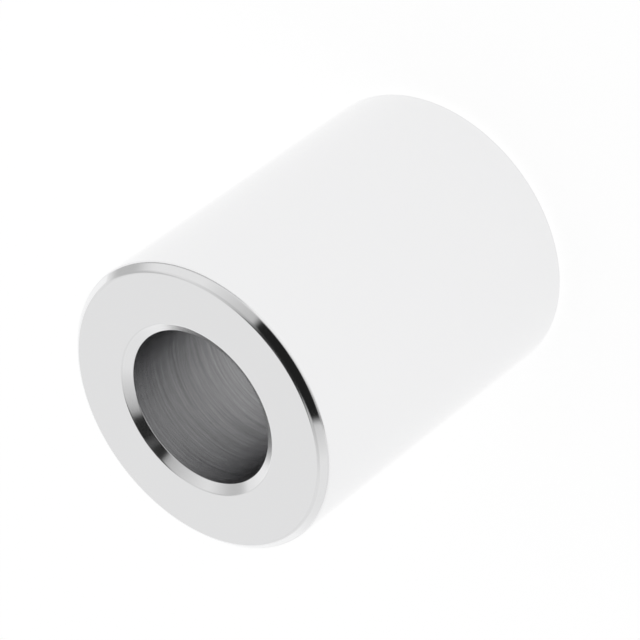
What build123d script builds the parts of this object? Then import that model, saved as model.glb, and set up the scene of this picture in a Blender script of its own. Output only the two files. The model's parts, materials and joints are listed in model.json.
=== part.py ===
from build123d import *

import math
import os

# Spacer sleeve: a plain turned tube that a bolt passes through, holding two parts a fixed distance
# apart. Millimetres. It stands on one end: the origin is the centre of the lower end face, and +Z
# runs up the bore to the upper end face. It is one piece, turned from round bar, so it is one solid.

# Driving dimensions
outer_diameter = 12.0
bore_diameter = 6.4  # the close clearance hole for an M6 bolt
length = 15.0  # over the two end faces: the distance that the sleeve keeps
rim_chamfer = 0.3  # 45 degree chamfer around the outside of each end
mouth_width = 0.4  # of the 120 degree countersink where the bore opens in each end
mouth_depth = mouth_width * math.tan(math.radians(30))
edge_break = 0.2  # radius left on every turned corner when the sleeve is deburred

with BuildPart() as sleeve:
    # The bar is turned to its outer diameter and parted off at length
    with BuildSketch(Plane.XY):
        Circle(outer_diameter / 2)
    extrude(amount=length)

    # The bore is drilled right through on the same axis
    Hole(bore_diameter / 2)

    # Each end is chamfered around the outside and countersunk at the mouth of the bore
    for which in (0, -1):
        end = sleeve.faces().filter_by(Axis.Z).sort_by(Axis.Z)[which]
        rim = end.edges().sort_by(SortBy.RADIUS)[-1]
        chamfer(rim, rim_chamfer)
        end = sleeve.faces().filter_by(Axis.Z).sort_by(Axis.Z)[which]
        mouth = end.edges().sort_by(SortBy.RADIUS)[0]
        chamfer(mouth, mouth_width, mouth_depth, reference=end)

    # Deburring rounds every corner that the tools left
    fillet(sleeve.edges().filter_by(GeomType.CIRCLE), edge_break)

sleeve.part.label = "sleeve"

os.makedirs("parts", exist_ok=True)
export_step(sleeve.part, "parts/sleeve.step")
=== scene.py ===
import json
import math

import bpy
from mathutils import Matrix, Vector

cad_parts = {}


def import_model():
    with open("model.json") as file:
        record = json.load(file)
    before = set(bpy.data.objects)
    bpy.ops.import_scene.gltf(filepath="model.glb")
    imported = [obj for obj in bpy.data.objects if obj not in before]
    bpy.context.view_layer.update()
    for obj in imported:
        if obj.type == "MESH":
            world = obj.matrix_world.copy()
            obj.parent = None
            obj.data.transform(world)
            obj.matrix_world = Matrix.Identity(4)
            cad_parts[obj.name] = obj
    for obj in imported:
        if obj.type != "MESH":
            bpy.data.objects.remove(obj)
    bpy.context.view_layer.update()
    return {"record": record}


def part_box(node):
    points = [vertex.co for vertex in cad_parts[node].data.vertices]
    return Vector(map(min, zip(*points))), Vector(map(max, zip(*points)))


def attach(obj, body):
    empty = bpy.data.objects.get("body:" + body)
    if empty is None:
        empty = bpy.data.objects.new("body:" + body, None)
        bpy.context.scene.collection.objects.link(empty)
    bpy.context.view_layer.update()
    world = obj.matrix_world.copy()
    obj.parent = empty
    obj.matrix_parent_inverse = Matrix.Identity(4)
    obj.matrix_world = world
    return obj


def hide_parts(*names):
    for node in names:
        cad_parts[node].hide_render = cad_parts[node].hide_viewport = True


# Spacer sleeve: a tube turned from steel bar and plated bright, which keeps two bolted parts apart.
# Metres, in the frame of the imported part: it stands on its lower end, and its bore runs up +Z.
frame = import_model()

MM = 0.001

# ---------------------------------------------------------------------------------------------
# Sizes. The outside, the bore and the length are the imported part's own.
# ---------------------------------------------------------------------------------------------
low_corner, high_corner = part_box("sleeve")
mounts = {mount["name"]: mount for mount in frame["record"]["mounts"]}
outer_radius = (high_corner.x - low_corner.x) / 2
bore_radius = mounts["bore"]["dims"]["r_mm"] * MM
length = high_corner.z - low_corner.z

rim_chamfer = 0.3 * MM  # around the outside of each end
mouth_width = 0.4 * MM  # of the 120 degree countersink where the bore opens in each end
mouth_depth = mouth_width * math.tan(math.radians(30))
edge_radius = 0.2 * MM  # left on every corner by deburring, but for the next
bore_edge_radius = 0.05 * MM  # left where each mouth runs into the bore
edge_facets = 6  # round each deburred corner
turn_facets = 192  # round the sleeve

feed = 0.15 * MM  # how far the boring tool moves in a turn, which leaves one ring
ring_depth = 0.004 * MM
rows_per_ring = 4


# ---------------------------------------------------------------------------------------------
# Helpers for node trees
# ---------------------------------------------------------------------------------------------
NUMBER = "NodeSocketFloat"
COUNT = "NodeSocketInt"
VECTOR = "NodeSocketVector"
MATERIAL = "NodeSocketMaterial"
GEOMETRY = "NodeSocketGeometry"


def place(tree, kind, sockets=None, **settings):
    """Adds a node. Each entry of sockets is an input's name or number, with a socket to link or a value."""
    node = tree.nodes.new(kind)
    for name, value in settings.items():
        setattr(node, name, value)
    for key, value in (sockets or {}).items():
        if isinstance(value, bpy.types.NodeSocket):
            tree.links.new(value, node.inputs[key])
        else:
            node.inputs[key].default_value = value
    return node


def calc(tree, operation, *values):
    """A Math node's result. Each value is a socket or a number."""
    return place(tree, "ShaderNodeMath", dict(enumerate(values)), operation=operation).outputs[0]


def calc_vector(tree, operation, sockets, output="Vector"):
    """A Vector Math node's result."""
    return place(tree, "ShaderNodeVectorMath", sockets, operation=operation).outputs[output]


def between(tree, factor, first, second):
    """A number that goes from first to second as factor goes from 0 to 1."""
    return place(tree, "ShaderNodeMix", {0: factor, 2: first, 3: second}, data_type="FLOAT").outputs[0]


def soft_step(tree, value, start, end):
    """A smooth step from 0 at start to 1 at end."""
    sockets = {"Value": value, "From Min": start, "From Max": end}
    return place(tree, "ShaderNodeMapRange", sockets, interpolation_type="SMOOTHSTEP").outputs["Result"]


def new_group(name, kind, inputs, outputs):
    """An empty node group. inputs holds {name: (socket type, default or None)}, and outputs
    {name: socket type}."""
    tree = bpy.data.node_groups.new(name, kind)
    for socket_name, (socket_kind, default) in inputs.items():
        socket = tree.interface.new_socket(socket_name, in_out="INPUT", socket_type=socket_kind)
        if default is not None:
            socket.default_value = default
    for socket_name, socket_kind in outputs.items():
        tree.interface.new_socket(socket_name, in_out="OUTPUT", socket_type=socket_kind)
    return tree, tree.nodes.new("NodeGroupInput").outputs, tree.nodes.new("NodeGroupOutput").inputs


def place_group(tree, group, sockets=None):
    """Places a shader node group, and gives its outputs."""
    return place(tree, "ShaderNodeGroup", sockets, node_tree=group).outputs


# ---------------------------------------------------------------------------------------------
# Surface effects that the finishes share
# ---------------------------------------------------------------------------------------------
def make_lathe_position():
    """A point as a turner sees it: its radius, its height up the sleeve, and its place round the axis."""
    tree, _, put = new_group("lathe position", "ShaderNodeTree", {},
                             {"Radius": NUMBER, "Height": NUMBER, "Around": VECTOR})
    point = place(tree, "ShaderNodeTexCoord").outputs["Object"]
    flat = calc_vector(tree, "MULTIPLY", {0: point, 1: (1, 1, 0)})
    tree.links.new(calc_vector(tree, "LENGTH", {0: flat}, "Value"), put["Radius"])
    tree.links.new(place(tree, "ShaderNodeSeparateXYZ", {0: point}).outputs["Z"], put["Height"])
    tree.links.new(calc_vector(tree, "NORMALIZE", {0: flat}), put["Around"])
    return tree


def make_tool_marks():
    """Fine lines that run round the sleeve and fade in and out on their way. Across is the distance over
    the lines and Spacing their mean distance apart, both in metres. Changes is how often one changes."""
    tree, get, put = new_group(
        "tool marks", "ShaderNodeTree",
        {"Across": (NUMBER, 0.0), "Around": (VECTOR, None), "Spacing": (NUMBER, 0.05 * MM),
         "Changes": (NUMBER, 1.0), "Seed": (NUMBER, 0.0)},
        {"Height": NUMBER})
    along = calc_vector(tree, "SCALE", {0: get["Around"], "Scale": get["Changes"]})
    lines = calc(tree, "ADD", calc(tree, "DIVIDE", get["Across"], get["Spacing"]), get["Seed"])
    over = place(tree, "ShaderNodeCombineXYZ", {"Z": lines}).outputs[0]
    where = calc_vector(tree, "ADD", {0: along, 1: over})
    noise = place(tree, "ShaderNodeTexNoise",
                  {"Vector": where, "Scale": 1.0, "Detail": 3.0, "Roughness": 0.6})
    tree.links.new(noise.outputs["Fac"], put["Height"])
    return tree


lathe_position = make_lathe_position()
tool_marks = make_tool_marks()


# ---------------------------------------------------------------------------------------------
# The finishes: one bright plating over metal that was worked in several ways
# ---------------------------------------------------------------------------------------------
plating_colour = (0.87, 0.87, 0.875)
# The rounded edges are a little darker than the plating: painted shade along them.
edge_colour_with_painted_shade = (0.84, 0.84, 0.845)
bore_colour_with_painted_shade = (0.62, 0.62, 0.625)  # darker than the plating outside: partly a duller plating in the bore, partly painted shade for the dim light inside it


def plated(name, over, spacing, depth, roughness, spread,
           colour=plating_colour, seed=0.0, pull=0.0, tone=0.0):
    """Plated metal with tool marks, spacing apart and depth deep. over names the lathe position that runs
    over the marks, spread says how far they vary the roughness, pull how far they draw the gloss out
    across themselves, and tone how far they vary the colour's brightness."""
    material = bpy.data.materials.new(name)
    material.use_nodes = True
    tree = material.node_tree
    shader = tree.nodes["Principled BSDF"]
    where = place_group(tree, lathe_position)
    marks = place_group(tree, tool_marks,
                        {"Across": where[over], "Around": where["Around"], "Spacing": spacing, "Seed": seed})
    bump = place(tree, "ShaderNodeBump", {"Strength": 1.0, "Distance": depth, "Height": marks["Height"]})
    tree.links.new(bump.outputs[0], shader.inputs["Normal"])
    shader.inputs["Base Color"].default_value = (*colour, 1.0)
    if tone:
        bright = between(tree, marks["Height"], 1.0 - tone, 1.0 + tone)
        tree.links.new(calc_vector(tree, "SCALE", {0: colour, "Scale": bright}), shader.inputs["Base Color"])
    shader.inputs["Metallic"].default_value = 1.0
    rough = between(tree, marks["Height"], roughness - spread, roughness + spread)
    tree.links.new(rough, shader.inputs["Roughness"])
    if pull:
        shader.inputs["Anisotropic"].default_value = pull
        shader.inputs["Anisotropic Rotation"].default_value = 0.25
        turn = place(tree, "ShaderNodeTangent", direction_type="RADIAL", axis="Z")
        tree.links.new(turn.outputs[0], shader.inputs["Tangent"])
    return material


finishes = {
    "Ground Outside": plated("ground_outside", "Height", 0.06 * MM, 0.00002 * MM, 0.07, 0.02),
    "Faced Ends": plated("faced_ends", "Radius", 0.05 * MM, 0.00002 * MM, 0.10, 0.02, seed=7.0),
    "Cut Chamfers": plated("cut_chamfers", "Radius", 0.05 * MM, 0.00002 * MM, 0.08, 0.02, seed=3.0),
    "Countersinks": plated("countersinks", "Radius", 0.05 * MM, 0.00002 * MM, 0.17, 0.02,
                           seed=3.0, pull=0.95),
    # The bored wall's darker colour is partly painted shade.
    "Bored Wall": plated("bored_wall", "Height", 0.07 * MM, 0.0006 * MM, 0.17, 0.04,
                         bore_colour_with_painted_shade, seed=5.0, pull=1.0, tone=0.5),
    # The broken edges are rougher, and their darker colour is painted shade.
    "Broken Edges": plated("broken_edges", "Radius", 0.03 * MM, 0.00005 * MM, 0.16, 0.05,
                           edge_colour_with_painted_shade, seed=9.0),
}


# ---------------------------------------------------------------------------------------------
# The sleeve: the wall's section, chamfered and deburred as a turner would, swept once round the axis
# ---------------------------------------------------------------------------------------------
def make_sleeve_tree():
    """In the section, X runs outwards and Y up the sleeve, from the middle of the wall."""
    tree, get, put = new_group(
        "turned sleeve", "GeometryNodeTree",
        {
            "Outer Radius": (NUMBER, None), "Bore Radius": (NUMBER, None), "Length": (NUMBER, None),
            "Rim Chamfer": (NUMBER, None), "Mouth Width": (NUMBER, None), "Mouth Depth": (NUMBER, None),
            "Edge Radius": (NUMBER, None), "Bore Edge Radius": (NUMBER, None),
            "Edge Facets": (COUNT, None), "Turn Facets": (COUNT, None),
            "Feed": (NUMBER, None), "Ring Depth": (NUMBER, None), "Rows Per Ring": (COUNT, None),
            "Ground Outside": (MATERIAL, None), "Faced Ends": (MATERIAL, None),
            "Cut Chamfers": (MATERIAL, None), "Countersinks": (MATERIAL, None),
            "Bored Wall": (MATERIAL, None), "Broken Edges": (MATERIAL, None),
        },
        {"Sleeve": GEOMETRY})

    def test(operation, first, second):
        return place(tree, "FunctionNodeCompare", {0: first, 1: second}, operation=operation).outputs[0]

    def both(first, second):
        return place(tree, "FunctionNodeBooleanMath", {0: first, 1: second}, operation="AND").outputs[0]

    def choose(condition, otherwise, chosen, kind="FLOAT"):
        sockets = {0: condition, 1: otherwise, 2: chosen}
        return place(tree, "GeometryNodeSwitch", sockets, input_type=kind).outputs[0]

    def position():
        point = place(tree, "GeometryNodeInputPosition").outputs[0]
        return point, place(tree, "ShaderNodeSeparateXYZ", {0: point}).outputs

    hair = 0.0001 * MM  # for a point that lies on a surface, give or take rounding
    end_skin, outer_skin, bore_skin = 0.002 * MM, 0.003 * MM, 0.004 * MM  # how near its surface a face lies
    same_tilt = 0.01
    wall = calc(tree, "SUBTRACT", get["Outer Radius"], get["Bore Radius"])
    half_wall = calc(tree, "DIVIDE", wall, 2.0)
    half_length = calc(tree, "DIVIDE", get["Length"], 2.0)
    _, spot = position()

    # The wall's section: its four corners are chamfered, and the eight that this leaves are rounded
    section = place(tree, "GeometryNodeCurvePrimitiveQuadrilateral",
                    {"Width": wall, "Height": get["Length"]}).outputs[0]
    outside = test("GREATER_THAN", spot["X"], 0.0)
    section = place(tree, "GeometryNodeFilletCurve",
                    {"Curve": section, "Count": 1,
                     "Radius": choose(outside, get["Mouth Width"], get["Rim Chamfer"])},
                    mode="POLY").outputs[0]
    on_bore = test("LESS_THAN", spot["X"], calc(tree, "SUBTRACT", hair, half_wall))
    mouth_end = calc(tree, "MULTIPLY", calc(tree, "SIGN", spot["Y"]),
                     calc(tree, "SUBTRACT", half_length, get["Mouth Depth"]))
    corner = place(tree, "ShaderNodeCombineXYZ", {"X": spot["X"], "Y": mouth_end}).outputs[0]
    section = place(tree, "GeometryNodeSetPosition",
                    {"Geometry": section, "Selection": on_bore, "Position": corner}).outputs[0]
    section = place(tree, "GeometryNodeFilletCurve",
                    {"Curve": section, "Count": get["Edge Facets"],
                     "Radius": choose(on_bore, get["Edge Radius"], get["Bore Edge Radius"])},
                    mode="POLY").outputs[0]

    # The bore's side, between the mouths, is divided into rows and cut into rings that differ in depth
    rings = calc(tree, "ROUND", calc(tree, "DIVIDE", get["Length"], get["Feed"]))
    cuts = choose(both(on_bore, test("LESS_THAN", spot["Y"], 0.0)), 0,
                  calc(tree, "SUBTRACT", calc(tree, "MULTIPLY", rings, get["Rows Per Ring"]), 1.0), "INT")
    section = place(tree, "GeometryNodeSubdivideCurve", {"Curve": section, "Cuts": cuts}).outputs[0]
    clear_of_mouth = calc(tree, "SUBTRACT", half_length, calc(tree, "MULTIPLY", get["Mouth Depth"], 1.5))
    in_bore = both(on_bore, test("LESS_THAN", calc(tree, "ABSOLUTE", spot["Y"]), clear_of_mouth))
    phase = calc(tree, "MULTIPLY", calc(tree, "DIVIDE", spot["Y"], get["Feed"]), math.tau)
    swing = calc(tree, "MULTIPLY_ADD", calc(tree, "COSINE", phase), 0.5, 0.5)
    uneven = place(tree, "ShaderNodeTexNoise",
                   {"W": calc(tree, "DIVIDE", spot["Y"], get["Feed"]), "Scale": 0.6, "Detail": 2.0},
                   noise_dimensions="1D").outputs["Fac"]
    cut = calc(tree, "MULTIPLY", calc(tree, "MULTIPLY", swing, uneven), get["Ring Depth"])
    section = place(tree, "GeometryNodeSetPosition",
                    {"Geometry": section, "Selection": in_bore,
                     "Offset": place(tree, "ShaderNodeCombineXYZ", {"X": cut}).outputs[0]}).outputs[0]

    # The section is swept round the middle of the wall and set on the lower end
    rail = place(tree, "GeometryNodeCurvePrimitiveCircle",
                 {"Resolution": get["Turn Facets"],
                  "Radius": calc(tree, "ADD", get["Bore Radius"], half_wall)}).outputs[0]
    body = place(tree, "GeometryNodeCurveToMesh", {"Curve": rail, "Profile Curve": section}).outputs[0]
    lift = place(tree, "ShaderNodeCombineXYZ", {"Z": half_length}).outputs[0]
    body = place(tree, "GeometryNodeTransform", {"Geometry": body, "Translation": lift}).outputs[0]
    body = place(tree, "GeometryNodeSetShadeSmooth", {"Geometry": body}).outputs[0]
    body = place(tree, "GeometryNodeRealizeInstances", {"Geometry": body}).outputs[0]

    # Each face takes the finish of the surface it lies on. The flats that were cut at a slope are told by
    # their tilt, and a later finish covers an earlier one
    point, spot = position()
    level_point = calc_vector(tree, "MULTIPLY", {0: point, 1: (1, 1, 0)})
    radius = calc_vector(tree, "LENGTH", {0: level_point}, "Value")
    from_middle = calc(tree, "ABSOLUTE", calc(tree, "SUBTRACT", spot["Z"], half_length))
    reach = calc(tree, "SUBTRACT", half_length, end_skin)
    facing = place(tree, "GeometryNodeInputNormal").outputs[0]
    tilt = calc(tree, "ABSOLUTE", place(tree, "ShaderNodeSeparateXYZ", {0: facing}).outputs["Z"])
    steepness = calc(tree, "ARCTAN2", get["Mouth Depth"], get["Mouth Width"])
    past_middle = test("GREATER_THAN", radius, calc(tree, "ADD", get["Bore Radius"], half_wall))
    flat = choose(past_middle, calc(tree, "COSINE", steepness), math.sqrt(0.5))
    cut_flat = test("LESS_THAN", calc(tree, "ABSOLUTE", calc(tree, "SUBTRACT", tilt, flat)), same_tilt)
    surfaces = {
        "Countersinks": cut_flat,
        "Cut Chamfers": both(cut_flat, past_middle),
        "Ground Outside": test("GREATER_THAN", radius,
                               calc(tree, "SUBTRACT", get["Outer Radius"], outer_skin)),
        "Faced Ends": test("GREATER_THAN", from_middle, reach),
        "Bored Wall": test("LESS_THAN", radius, calc(tree, "ADD", get["Bore Radius"], bore_skin)),
    }
    body = place(tree, "GeometryNodeSetMaterial",
                 {"Geometry": body, "Material": get["Broken Edges"]}).outputs[0]
    for name, faces in surfaces.items():
        body = place(tree, "GeometryNodeSetMaterial",
                     {"Geometry": body, "Selection": faces, "Material": get[name]}).outputs[0]
    tree.links.new(body, put["Sleeve"])
    return tree


def flatten(mesh):
    """Lets the larger faces at each corner set its normal, so that flats stay flat up to their edges."""
    normals = [Vector() for _ in mesh.vertices]
    for face in mesh.polygons:
        for corner in face.vertices:
            normals[corner] += face.area / MM**2 * face.normal
    mesh.normals_split_custom_set_from_vertices([normal.normalized() for normal in normals])


def make_sleeve():
    """The sleeve as a plain mesh, whose flat surfaces stay flat right up to their rounded edges."""
    tree = make_sleeve_tree()
    values = {
        "Outer Radius": outer_radius, "Bore Radius": bore_radius, "Length": length,
        "Rim Chamfer": rim_chamfer, "Mouth Width": mouth_width, "Mouth Depth": mouth_depth,
        "Edge Radius": edge_radius, "Bore Edge Radius": bore_edge_radius,
        "Edge Facets": edge_facets, "Turn Facets": turn_facets,
        "Feed": feed, "Ring Depth": ring_depth, "Rows Per Ring": rows_per_ring, **finishes,
    }
    blank = bpy.data.objects.new("sleeve_blank", bpy.data.meshes.new("sleeve_blank"))
    bpy.context.scene.collection.objects.link(blank)
    turning = blank.modifiers.new("turning", "NODES")
    turning.node_group = tree
    for socket in tree.interface.items_tree:
        if socket.in_out == "INPUT":
            turning[socket.identifier] = values[socket.name]
    evaluated = blank.evaluated_get(bpy.context.evaluated_depsgraph_get())
    mesh = bpy.data.meshes.new_from_object(evaluated)
    bpy.data.objects.remove(blank)
    mesh.name = "turned_sleeve"
    flatten(mesh)
    sleeve = bpy.data.objects.new("turned_sleeve", mesh)
    bpy.context.scene.collection.objects.link(sleeve)
    return sleeve


sleeve = make_sleeve()
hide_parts("sleeve")
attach(sleeve, "root")


# ---------------------------------------------------------------------------------------------
# The camera looks down on the upper end, and is turned so that the sleeve lies across the picture
# ---------------------------------------------------------------------------------------------
view_elevation = math.radians(40.0)
view_roll = math.radians(-126.6)
view_distance = 26.36 * outer_radius  # to the middle of the sleeve
lens_mm = 234.4
picture_offset = (0.0075 * outer_radius, 0.0153 * outer_radius)  # of the sleeve's middle, across and up


def make_camera():
    """At azimuth 0, on the -Y side."""
    back = Vector((0, -math.cos(view_elevation), math.sin(view_elevation)))
    level = Vector((1, 0, 0))
    upright = back.cross(level)
    right = math.cos(view_roll) * level + math.sin(view_roll) * upright
    up = back.cross(right)
    centre = Vector((0, 0, length / 2))
    data = bpy.data.cameras.new("camera")
    data.lens = lens_mm
    data.sensor_width = 36
    data.clip_start = 0.01
    data.clip_end = 10
    camera = bpy.data.objects.new("camera", data)
    bpy.context.scene.collection.objects.link(camera)
    spot = centre - right * picture_offset[0] - up * picture_offset[1] + back * view_distance
    camera.matrix_world = Matrix.Translation(spot) @ Matrix((right, up, back)).transposed().to_4x4()
    bpy.context.scene.camera = camera


make_camera()


# ---------------------------------------------------------------------------------------------
# The studio: soft walls over a white floor, with the grey screens and the dark gap that give bright metal
# its form. The camera and the metal see the same studio. Azimuths are in degrees round +Z from the
# camera's side, elevations are in degrees, and an edge is given as where it begins and where it ends.
# Levels are shares of white.
# ---------------------------------------------------------------------------------------------
wall_left, wall_front, wall_behind = 0.84, (0.74, 1.06), 1.12  # low down; in front it rises to the right
wall_high = (0.476, 0.85)  # near the gap, and well away from it
wide_screen_level = (0.35, 0.395)  # at its two ends, as the next
narrow_screen_level = (0.46, 0.54)
narrow_screen_edge_level = 0.32
leaning_screen_level = 0.54
gap_level = 0.015

lamp_azimuth, lamp_elevation = -13.6, 68  # the middle of the dark part of the upper walls
gap_apex = (0.097, 0.17)  # X and Y, one unit overhead
gap_turn, gap_half_angle = 19.7, (33.7, 41.1)
gap_low_edge = (24, 36)
channel_middle, channel_half_width = -0.05, (0.215, 0.28)  # one unit overhead
channel_ends = (-0.15, -0.05), (0.4, 0.6)
overhead_opening = (89.5, 85.5)  # closed below the second


def make_studio():
    world = bpy.data.worlds.new("studio")
    bpy.context.scene.world = world
    world.use_nodes = True
    tree = world.node_tree
    towards = place(tree, "ShaderNodeTexCoord").outputs["Generated"]
    part = place(tree, "ShaderNodeSeparateXYZ", {0: towards}).outputs
    azimuth = calc(tree, "DEGREES", calc(tree, "ARCTAN2", part["X"], calc(tree, "MULTIPLY", part["Y"], -1.0)))
    elevation = calc(tree, "DEGREES", calc(tree, "ARCSINE", part["Z"]))

    def ramp(value, start, end, first, last):
        """An even change from first at start to last at end."""
        sockets = {"Value": value, "From Min": start, "From Max": end, "To Min": first, "To Max": last}
        return place(tree, "ShaderNodeMapRange", sockets).outputs["Result"]

    def before(value, edge):
        """1 before an edge and 0 past it."""
        return calc(tree, "SUBTRACT", 1.0, soft_step(tree, value, *edge))

    def span(value, rise, fall):
        """1 between the two edges and 0 outside them."""
        return calc(tree, "SUBTRACT", soft_step(tree, value, *rise), soft_step(tree, value, *fall))

    def within(first, second):
        """Where two masks overlap."""
        return calc(tree, "MULTIPLY", first, second)

    def beyond(direction_azimuth, direction_elevation):
        """Degrees away from a direction."""
        turn, lift = math.radians(direction_azimuth), math.radians(direction_elevation)
        aim = (math.sin(turn) * math.cos(lift), -math.cos(turn) * math.cos(lift), math.sin(lift))
        cosine = calc_vector(tree, "DOT_PRODUCT", {0: towards, 1: aim}, "Value")
        return calc(tree, "DEGREES", calc(tree, "ARCCOSINE", cosine))

    # The walls low down, brighter towards the right and brightest behind
    low = between(tree, soft_step(tree, azimuth, -58, -50), wall_left, ramp(azimuth, -30, 35, *wall_front))
    low = between(tree, soft_step(tree, calc(tree, "ABSOLUTE", azimuth), 100, 175), low, wall_behind)

    # The upper walls, which darken towards the gap between the lamps
    high = ramp(beyond(lamp_azimuth, lamp_elevation), 23, 55.4, *wall_high)
    walls = between(tree, soft_step(tree, elevation, -5, 25), low, high)

    # A wide low screen on the right, whose far edge leans
    far_edge = calc(tree, "ADD", azimuth, calc(tree, "MULTIPLY", calc(tree, "ADD", elevation, 40.0), 0.1))
    wide = calc(tree, "SUBTRACT", soft_step(tree, azimuth, 26, 42), soft_step(tree, far_edge, 124, 155))
    wide = within(wide, before(elevation, (8, 18)))
    walls = between(tree, wide, walls, ramp(azimuth, 60, 110, *wide_screen_level))

    # A narrow one on the left, with a darker edge
    lower = before(elevation, (10, 40))
    narrow = within(span(azimuth, (-65, -52), (-33, -28)), lower)
    walls = between(tree, narrow, walls, ramp(azimuth, -50, -33, *narrow_screen_level))
    narrow_edge = within(span(azimuth, (-65, -52), (-52, -48)), lower)
    walls = between(tree, narrow_edge, walls, narrow_screen_edge_level)

    # A leaning one behind on the right
    leaning = calc(tree, "SUBTRACT", azimuth,
                   calc(tree, "MULTIPLY", calc(tree, "SUBTRACT", elevation, 20.0), 0.3))
    leaning = within(span(leaning, (104, 128), (134, 143)), span(elevation, (-2, 4), (45, 65)))
    walls = between(tree, leaning, walls, leaning_screen_level)

    # The dark gap: a wedge that opens from just behind the zenith towards the front, and a channel that
    # carries it on past the zenith. It is open straight overhead, or an upper end seen from above is black
    scale = place(tree, "ShaderNodeCombineXYZ", {"X": part["Z"], "Y": part["Z"], "Z": part["Z"]}).outputs[0]
    overhead = calc_vector(tree, "DIVIDE", {0: towards, 1: scale})
    overhead = place(tree, "ShaderNodeSeparateXYZ", {0: overhead}).outputs
    side = calc(tree, "SUBTRACT", overhead["X"], gap_apex[0])
    front = calc(tree, "SUBTRACT", gap_apex[1], overhead["Y"])
    swing = calc(tree, "ADD", calc(tree, "DEGREES", calc(tree, "ARCTAN2", side, front)), gap_turn)
    above = soft_step(tree, elevation, *gap_low_edge)
    wedge = within(before(calc(tree, "ABSOLUTE", swing), gap_half_angle), above)
    off_middle = calc(tree, "ABSOLUTE", calc(tree, "SUBTRACT", overhead["X"], channel_middle))
    channel = within(span(overhead["Y"], *channel_ends), above)
    channel = within(before(off_middle, channel_half_width), channel)
    gap = within(calc(tree, "MAXIMUM", wedge, channel), soft_step(tree, elevation, *overhead_opening))
    walls = between(tree, gap, walls, gap_level)
    tree.links.new(walls, tree.nodes["Background"].inputs["Color"])


floor_half_width = 2.0
floor_drop = 0.01 * MM  # so that nothing of the sleeve is in its plane
floor_glow = 1.155  # the floor's own light
floor_lit_share = 0.25  # of the floor's tone. It holds the sleeve's shadow


def make_floor():
    """White to every kind of ray, with the sleeve's soft shadow. It can be seen through from below."""
    half, low = floor_half_width, -floor_drop
    mesh = bpy.data.meshes.new("floor")
    corners = [(-half, -half, low), (half, -half, low), (half, half, low), (-half, half, low)]
    mesh.from_pydata(corners, [], [(0, 1, 2, 3)])
    floor = bpy.data.objects.new("floor", mesh)
    bpy.context.scene.collection.objects.link(floor)
    material = bpy.data.materials.new("floor")
    material.use_nodes = True
    tree = material.node_tree
    tree.nodes.remove(tree.nodes["Principled BSDF"])
    white = (1, 1, 1, 1)
    own = place(tree, "ShaderNodeEmission", {"Color": white, "Strength": floor_glow}).outputs[0]
    lit = place(tree, "ShaderNodeBsdfDiffuse", {"Color": white}).outputs[0]
    paper = place(tree, "ShaderNodeMixShader", {0: floor_lit_share, 1: own, 2: lit}).outputs[0]
    clear = place(tree, "ShaderNodeBsdfTransparent").outputs[0]
    from_below = place(tree, "ShaderNodeNewGeometry").outputs["Backfacing"]
    either = place(tree, "ShaderNodeMixShader", {0: from_below, 1: paper, 2: clear}).outputs[0]
    tree.links.new(either, tree.nodes["Material Output"].inputs["Surface"])
    mesh.materials.append(material)


make_studio()
make_floor()
bpy.context.scene.view_settings.view_transform = "Standard"

# Light has to cross the bore many times before it comes out again
bore_bounces = 16
bpy.context.scene.cycles.max_bounces = bore_bounces
bpy.context.scene.cycles.glossy_bounces = bore_bounces
